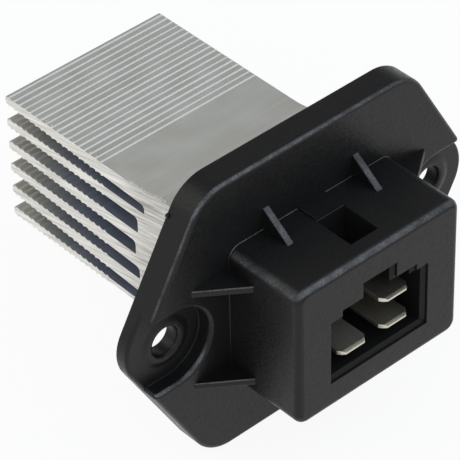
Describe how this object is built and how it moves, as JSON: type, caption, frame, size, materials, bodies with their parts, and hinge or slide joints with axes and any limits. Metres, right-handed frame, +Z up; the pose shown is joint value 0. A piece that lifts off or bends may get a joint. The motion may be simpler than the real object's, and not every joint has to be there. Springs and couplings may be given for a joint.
{
  "type": "blower motor resistor",
  "caption": "Plug-in blower speed unit: moulded flange with fixing ears and a keyed plug socket with flat blades, and a ridged finned heat sink behind it.",
  "frame": {"origin": "midway between the two fixing holes, on the flange's seat", "axes": "+X from the left ear to the right ear seen from the plug, -Y out of the plug socket, +Y along the fins, +Z up"},
  "size_m": [0.0764, 0.0742, 0.0564],
  "materials": {
    "black_nylon": "fine-grained glass-filled nylon, moulded",
    "extruded_aluminium": "bare extrusion, sawn ends",
    "tinned_brass": "tin-plated, slightly dull",
    "board_laminate": "green solder mask",
    "moulding_epoxy": "matt",
    "tinned_copper": "tin-plated copper",
    "silicone": "matt grey sheet",
    "bush_plastic": "natural",
    "zinc_steel": "zinc-plated",
    "lacquer": "baked lacquer",
    "diode_epoxy": "matt",
    "capacitor_resin": "dipped resin",
    "solder": "bright solder"
  },
  "bodies": {
    "root": {"housing": "black_nylon", "heat_sink": "extruded_aluminium", "terminal_signal": "tinned_brass", "terminal_ground": "tinned_brass", "terminal_motor": "tinned_brass", "circuit_board": "board_laminate", "transistor_body": "moulding_epoxy", "drain_tab": "tinned_copper", "gate_lead": "tinned_copper", "source_lead": "tinned_copper", "insulator_pad": "silicone", "insulating_bush": "bush_plastic", "spring_washer": "zinc_steel", "clamp_screw": "zinc_steel", "gate_resistor": "lacquer", "pulldown_resistor": "lacquer", "zener_diode": "diode_epoxy", "filter_capacitor": "capacitor_resin", "solder_joints": "solder"}
  },
  "joints": []
}
